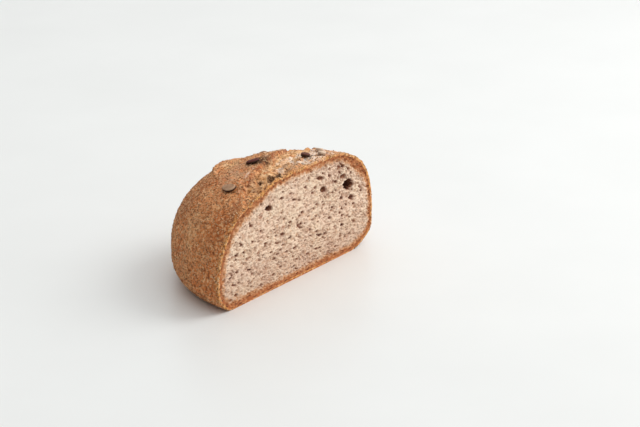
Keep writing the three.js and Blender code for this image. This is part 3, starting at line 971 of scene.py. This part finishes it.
def larger_pores():
    """The listed pores and the small ones that the solid has too, by the same repeatable rule."""
    state = PORE_SEED

    def draw():
        nonlocal state
        state = (state * 1664525 + 1013904223) & 0xFFFFFFFF
        return state / 4294967296

    pores = list(LARGE_PORES)
    for _ in range(PORE_TRIES):
        if len(pores) == len(LARGE_PORES) + SMALL_PORES:
            break
        x = (draw() - 0.5) * LENGTH
        z = draw() * HEIGHT
        width = lerp(*SMALL_PORE_WIDTH, draw())
        power = FULLNESS + math.copysign(FULLNESS_SKEW, x)
        wide = abs(x) / (RADIUS_X - PORE_MARGIN)
        high = max(z - BELLY_HEIGHT, 0.0) / (DOME - PORE_MARGIN)
        if not (z > PORE_MARGIN and wide ** power + high ** power < 1):
            continue
        if any(math.hypot(p[0] - x, p[1] - z) - (p[2] + width) / 2 < PORE_CLEARANCE for p in pores):
            continue
        turn = lerp(*SMALL_PORE_SLANT, draw())
        pores.append((x, z, width, width * SMALL_PORE_FORM[0], width * SMALL_PORE_FORM[1], turn))
    return pores


def flow_slant(x, z):
    """The slant of the crumb's pores: they fall to the right, steepest at the upper right, least low down."""
    return CRUMB_LEAN - 11 * smooth(10, 75, x) * smooth(25, 60, z) + 4 * smooth(30, 10, z)


def pocket_depth(distance):
    """How deep the crumb is at a distance from the edge of the cut."""
    depth = 0.0
    for inward, deeper in POCKET_STEPS:
        depth += deeper * min(max(distance / inward, 0.0), 1.0)
        distance -= inward
    return depth


def all_pores(shape):
    draw = random.Random(FINER_PORE_SEED)
    pores = larger_pores()
    for x, z, width, height in PLACED_PORES:
        pores.append((x, z, width, height, 0.55 * width, flow_slant(x, z)))
    for number, low, high, deep in ((shape.middle_pores, 2.0, 3.8, 0.5), (shape.fine_pores, 1.1, 2.3, 0.35)):
        for _ in range(number):
            x = draw.uniform(-RADIUS_X, RADIUS_X)
            z = draw.uniform(3, HEIGHT)
            low_down = smooth(52, 22, z)
            coarse = 1 + 0.25 * smooth(0, 60, x) * smooth(30, 60, z) - 0.15 * low_down
            width = lerp(low, high, draw.random() ** 1.6) * coarse * (1 + 0.35 * low_down)
            height = width * lerp(0.65, 0.3, low_down * draw.random() + (1 - low_down) * 0.6 * draw.random())
            turn = flow_slant(x, z) + draw.gauss(0, 9)
            pores.append((x, z, width, height, width * deep * draw.uniform(0.6, 1.2), turn))
    return pores


def browned_edge(place):
    """How far the crust's browning reaches into the crumb: furthest at the left and at the upper right,
    where the wide brown is partly painted shadow.
    """
    # The wide brown at the upper right is partly the crust's browning and partly painted shadow.
    corner = math.exp(-(((place.x - 77) / 16) ** 2) - ((place.z - 70) / 14) ** 2)
    thickness = 3.9 + 8.0 * corner + 1.8 * smooth(20, 5, place.z) + 1.8 * smooth(45, 70, place.z)
    thickness += 4.2 * smooth(-38, -62, place.x) * lerp(0.4, 1.0, smooth(8, 30, place.z))
    return thickness + (1.3 * noise.noise(place / 6.0) + 1.0 * noise.noise(place / 1.8))


class BREAD_OT_crumb(bpy.types.Operator):
    """Build the crumb: a fine slab that fills the crust's hollow, with its pores pressed into the cut face"""

    bl_idname = "bread.crumb"
    bl_label = "Build Crumb"

    def execute(self, context):
        shape = context.scene.loaf_shape
        outline = cut_outline()
        turns = [point[0] for point in outline]
        edge_tree = kdtree.KDTree(len(outline))
        for i, point in enumerate(outline):
            edge_tree.insert((point[2], 0, point[3]), i)
        edge_tree.balance()

        def reach(turn):
            index = bisect_left(turns, turn)
            before, after = outline[index - 1], outline[index % len(outline)]
            span = (after[0] - before[0]) % (2 * math.pi)
            share = ((turn - before[0]) % (2 * math.pi)) / span if span > 1e-9 else 0.0
            return lerp(before[1], after[1], share) - CRUST_SKIN - POCKET_GAP

        step = shape.crumb_step / MM
        bm = bmesh.new()
        bmesh.ops.create_grid(bm, x_segments=round(LENGTH / step), y_segments=round(HEIGHT / step), size=1.0)
        for vert in bm.verts:
            x = vert.co.x * math.sqrt(1 - vert.co.y ** 2 / 2)
            z = vert.co.y * math.sqrt(1 - vert.co.x ** 2 / 2)
            turn = math.atan2(z * HEIGHT, x * LENGTH)
            spread = min(math.hypot(x, z), 1.0) * reach(turn)
            vert.co = Vector((spread * math.cos(turn), 0, spread * math.sin(turn) + CRUMB_MIDDLE))
        bm.verts.ensure_lookup_table()
        pore_shade_layer = bm.verts.layers.float.new("pore")
        edge_layer = bm.verts.layers.float.new("edge")
        places = kdtree.KDTree(len(bm.verts))
        to_edge = []
        for vert in bm.verts:
            places.insert(vert.co, vert.index)
            to_edge.append(edge_tree.find(vert.co)[2])
        places.balance()
        depths = [0.0] * len(bm.verts)
        for x, z, width, height, depth, turn in all_pores(shape):
            cosine, sine = math.cos(math.radians(turn)), math.sin(math.radians(turn))
            for place, index, _ in places.find_range((x, 0, z), width * 0.62):
                ragged = 0.5 * noise.noise(place / 1.2)
                along = ((place.x - x) * cosine + (place.z - z) * sine) / (width / 2)
                across = ((place.z - z) * cosine - (place.x - x) * sine) / (height / 2)
                inside = 1 - along * along - across * across + ragged
                if inside > 0:
                    free = smooth(1.4, 4.0, to_edge[index])
                    pressed = min(depth * min(inside, 1.0) ** 0.42 * free, 0.8 * pocket_depth(to_edge[index]))
                    depths[index] = max(depths[index], pressed)
        for vert in bm.verts:
            place = vert.co.copy()
            distance = to_edge[vert.index]
            vert[edge_layer] = min(max(1 - (distance - CRUST_SKIN) / browned_edge(place), 0.0), 1.0)
            # Painted shade in the pores, by their depth.
            vert[pore_shade_layer] = min(depths[vert.index] / 3.2, 1.0) ** 0.8
            rough = 0.2 * noise.noise(place / 1.2) + 0.25 * noise.noise(place / 3.5)
            vert.co.y = max(0.0, 0.22 + rough) * smooth(0, 1.5, distance - CRUST_SKIN) + depths[vert.index]
        close_pocket(bm, POCKET_STEPS[1:], POCKET_GAP, ())
        crumb = finished_object("crumb", bm, crumb_material(context.scene.crumb_finish))
        join_frame(crumb)
        return {"FINISHED"}


class BREAD_OT_seeds(bpy.types.Operator):
    """Build the pumpkin seeds: flat teardrops with a raised rim, partly sunk in the crust"""

    bl_idname = "bread.seeds"
    bl_label = "Build Pumpkin Seeds"

    def execute(self, context):
        bm = bmesh.new()
        toast_layer = bm.verts.layers.float.new("toast")
        rim_tone_and_highlight_layer = bm.verts.layers.float.new("rim")
        underside_shade_layer = bm.verts.layers.float.new("under")
        for middle, lengthwise, crosswise, facing, half_length, half_width, toast in SEED_FRAMES:
            made = bmesh.ops.create_uvsphere(bm, u_segments=32, v_segments=20, radius=1.0)["verts"]
            here = crust_place(middle)[0] + facing * SEED_PROUD
            for vert in made:
                along, across = vert.co.x, vert.co.y
                spread = min(math.hypot(along, across), 1.0)
                dome = math.sqrt(1 - spread * spread)
                if vert.co.z < 0 and spread > 0:
                    steep = math.sqrt(1 - vert.co.z ** 4) / spread
                    along, across = along * steep, across * steep
                ridge = bell(spread, SEED_RIM_PLACE, SEED_RIM_WIDTH)
                rise = SEED_FLATNESS * dome + SEED_RIM_HEIGHT * ridge * (dome > 0.02)
                up = math.copysign(rise, vert.co.z) * SEED_THICKNESS / 2
                taper = (1 - SEED_TAPER * along) * (1 + 0.1 * noise.noise(middle / 3 + vert.co * 1.4))
                place = here + lengthwise * along * half_length + crosswise * across * half_width * taper
                up += 0.14 * noise.noise(place / 2.2)
                vert[toast_layer] = toast
                # Painted shade on the lower flank, weaker on the paler seeds.
                vert[underside_shade_layer] = smooth(0.3, 0.0, vert.co.z) * min(4 * toast, 1.0)
                # Paler rim tone, partly a painted highlight on the ridge.
                vert[rim_tone_and_highlight_layer] = ridge * smooth(-0.5, 0.0, noise.noise(place / 2.6))
                vert.co = to_row(place + facing * up)
        seeds = finished_object("pumpkin_seeds", bm, seed_material(context.scene.seed_finish))
        join_frame(seeds)
        return {"FINISHED"}


def scatter_grains(context, crust, name, kind, material, density, size):
    """Scatter one kind of grain over the crust, as many as its bran value asks, as one real mesh."""
    form, seed = kind
    bm = bmesh.new()
    bmesh.ops.create_icosphere(bm, subdivisions=1, radius=1.0)
    bmesh.ops.scale(bm, verts=bm.verts, vec=form)
    grain = finished_object(name + "_grain", bm, material)
    carrier = finished_object(name + "_carrier", bmesh.new(), material)
    tree = bpy.data.node_groups.new(name + "_scatter", "GeometryNodeTree")
    tree.interface.new_socket("Geometry", in_out="OUTPUT", socket_type="NodeSocketGeometry")
    ground = add_node(tree, "GeometryNodeObjectInfo", {"Object": crust}).outputs["Geometry"]
    piece = add_node(tree, "GeometryNodeObjectInfo", {"Object": grain}).outputs["Geometry"]
    share = add_node(tree, "GeometryNodeInputNamedAttribute", {"Name": "bran"}, data_type="FLOAT").outputs[0]
    spread = {"Mesh": ground, "Density": calculate(tree, "MULTIPLY", share, density), "Seed": seed}
    points = add_node(tree, "GeometryNodeDistributePointsOnFaces", spread)
    tips = {0: (-0.5, -0.5, 0.0), 1: (0.5, 0.5, 2 * math.pi), "Seed": seed + 1}
    spin = add_node(tree, "FunctionNodeRandomValue", tips, data_type="FLOAT_VECTOR").outputs[0]
    turn = {"Rotation": points.outputs["Rotation"], "Rotate By": spin}
    turned = add_node(tree, "FunctionNodeRotateRotation", turn, rotation_space="LOCAL").outputs[0]
    sizes = {2: 0.55 * size, 3: 1.3 * size, "Seed": seed + 2}
    scale = add_node(tree, "FunctionNodeRandomValue", sizes, data_type="FLOAT").outputs[1]
    placing = {"Points": points.outputs["Points"], "Instance": piece, "Rotation": turned, "Scale": scale}
    placed = add_node(tree, "GeometryNodeInstanceOnPoints", placing).outputs[0]
    tones = {2: 0.0, 3: 1.0, "Seed": seed + 3}
    tone = add_node(tree, "FunctionNodeRandomValue", tones, data_type="FLOAT").outputs[1]
    toning = {"Geometry": placed, "Name": "tone", "Value": tone}
    toned = add_node(tree, "GeometryNodeStoreNamedAttribute", toning, data_type="FLOAT", domain="INSTANCE")
    real = add_node(tree, "GeometryNodeRealizeInstances", {"Geometry": toned.outputs[0]}).outputs[0]
    add_node(tree, "NodeGroupOutput", {0: real})
    carrier.modifiers.new(name + "_scatter", "NODES").node_group = tree
    mesh = bpy.data.meshes.new_from_object(carrier.evaluated_get(context.evaluated_depsgraph_get()))
    mesh.name = name
    if not mesh.materials:
        mesh.materials.append(material)
    grains = bpy.data.objects.new(name, mesh)
    context.scene.collection.objects.link(grains)
    for helper in (grain, carrier):
        bpy.data.objects.remove(helper)
    join_frame(grains)


class BREAD_OT_grains(bpy.types.Operator):
    """Scatter semolina and bran on the crust as real grains, each kind joined in one mesh"""

    bl_idname = "bread.grains"
    bl_label = "Scatter Semolina and Bran"

    def execute(self, context):
        shape, finish = context.scene.loaf_shape, context.scene.grain_finish
        crust = bpy.data.objects.get("crust")
        if crust is None:
            raise RuntimeError("build the crust before its grains")
        density = shape.grain_density
        semolina = grain_material("baked_semolina", finish.semolina, finish.pale_semolina)
        bran = grain_material("baked_bran", finish.bran, finish.pale_bran)
        scatter_grains(context, crust, "semolina", SEMOLINA, semolina, density, shape.semolina_size)
        scatter_grains(context, crust, "bran", BRAN, bran, density, shape.bran_size)
        return {"FINISHED"}


class BREAD_OT_studio(bpy.types.Operator):
    """Set the pale floor, the soft light and the camera"""

    bl_idname = "bread.studio"
    bl_label = "Set Studio"

    def execute(self, context):
        studio = context.scene.studio_settings
        bm = bmesh.new()
        bmesh.ops.create_grid(bm, x_segments=1, y_segments=1, size=FLOOR_HALF)
        floor = finished_object("floor", bm, floor_material(studio))
        floor.location.z = CAD_LOW.z

        azimuth, elevation = math.radians(CAMERA_AZIMUTH), math.radians(CAMERA_ELEVATION)
        level = math.cos(elevation)
        back = Vector((math.sin(azimuth) * level, -math.cos(azimuth) * level, math.sin(elevation)))
        right = Vector((math.cos(azimuth), math.sin(azimuth), 0))
        up = back.cross(right)
        target = to_row(Vector((0, 0, 0))) - (right * CAMERA_OFF[0] + up * CAMERA_OFF[1]) * MM
        camera_data = bpy.data.cameras.new("camera")
        camera_data.lens = CAMERA_LENS
        camera_data.sensor_width = CAMERA_SENSOR
        camera_data.clip_start = 0.05
        camera = bpy.data.objects.new("camera", camera_data)
        camera.location = target + back * CAMERA_DISTANCE * MM
        camera.rotation_mode = "QUATERNION"
        camera.rotation_quaternion = back.to_track_quat("Z", "Y")
        context.scene.collection.objects.link(camera)
        context.scene.camera = camera

        away = Vector((-back.x, -back.y, 0)).normalized()
        key_data = bpy.data.lights.new("key", "AREA")
        key_data.shape = "DISK"
        key_data.size = KEY_SIZE
        key_data.energy = studio.key_power
        key = bpy.data.objects.new("key", key_data)
        key.location = right * KEY_PLACE[0] + away * KEY_PLACE[1] + Vector((0, 0, KEY_PLACE[2]))
        key.rotation_mode = "QUATERNION"
        key.rotation_quaternion = key.location.to_track_quat("Z", "Y")
        context.scene.collection.objects.link(key)

        world = bpy.data.worlds.new("soft_studio")
        world.use_nodes = True
        tree = world.node_tree
        bright_side = (right * SKY_SIDE[0] + away * SKY_SIDE[1] + Vector((0, 0, SKY_SIDE[2]))).normalized()
        towards = add_node(tree, "ShaderNodeTexCoord").outputs["Generated"]
        facing = add_node(
            tree, "ShaderNodeVectorMath", {0: towards, 1: bright_side}, operation="DOT_PRODUCT"
        ).outputs["Value"]
        shades = {
            "Value": facing, "From Min": -0.6, "From Max": 0.8,
            "To Min": studio.sky_dark, "To Max": studio.sky_bright,
        }
        strength = add_node(tree, "ShaderNodeMapRange", shades, interpolation_type="SMOOTHSTEP").outputs[0]
        sky = tree.nodes["Background"]
        sky.inputs["Color"].default_value = SKY_TINT
        tree.links.new(strength, sky.inputs["Strength"])
        context.scene.world = world
        context.scene.view_settings.view_transform = "Standard"
        return {"FINISHED"}


class BREAD_PT_panel(bpy.types.Panel):
    """Lists the bread's pieces in the sidebar"""

    bl_idname = "BREAD_PT_panel"
    bl_label = "Buckwheat Bread"
    bl_space_type = "VIEW_3D"
    bl_region_type = "UI"
    bl_category = "Bread"

    def draw(self, context):
        for group in SETTINGS:
            settings = getattr(context.scene, group)
            box = self.layout.box()
            for name in settings.bl_rna.properties.keys():
                if name not in ("rna_type", "name"):
                    box.prop(settings, name)
        for operator in OPERATORS:
            self.layout.operator(operator.bl_idname)


SETTINGS = {
    "loaf_shape": LoafShape,
    "crust_finish": CrustFinish,
    "crumb_finish": CrumbFinish,
    "seed_finish": SeedFinish,
    "grain_finish": GrainFinish,
    "studio_settings": StudioSettings,
}
OPERATORS = (BREAD_OT_crust, BREAD_OT_crumb, BREAD_OT_seeds, BREAD_OT_grains, BREAD_OT_studio)


def register():
    for cls in (*SETTINGS.values(), *OPERATORS, BREAD_PT_panel):
        bpy.utils.register_class(cls)
    for name, cls in SETTINGS.items():
        setattr(bpy.types.Scene, name, bpy.props.PointerProperty(type=cls))


def unregister():
    for name in SETTINGS:
        delattr(bpy.types.Scene, name)
    for cls in reversed((*SETTINGS.values(), *OPERATORS, BREAD_PT_panel)):
        bpy.utils.unregister_class(cls)


def main():
    register()
    bpy.ops.bread.crust()
    bpy.ops.bread.crumb()
    bpy.ops.bread.seeds()
    bpy.ops.bread.grains()
    bpy.ops.bread.studio()


if __name__ == "__main__":
    main()
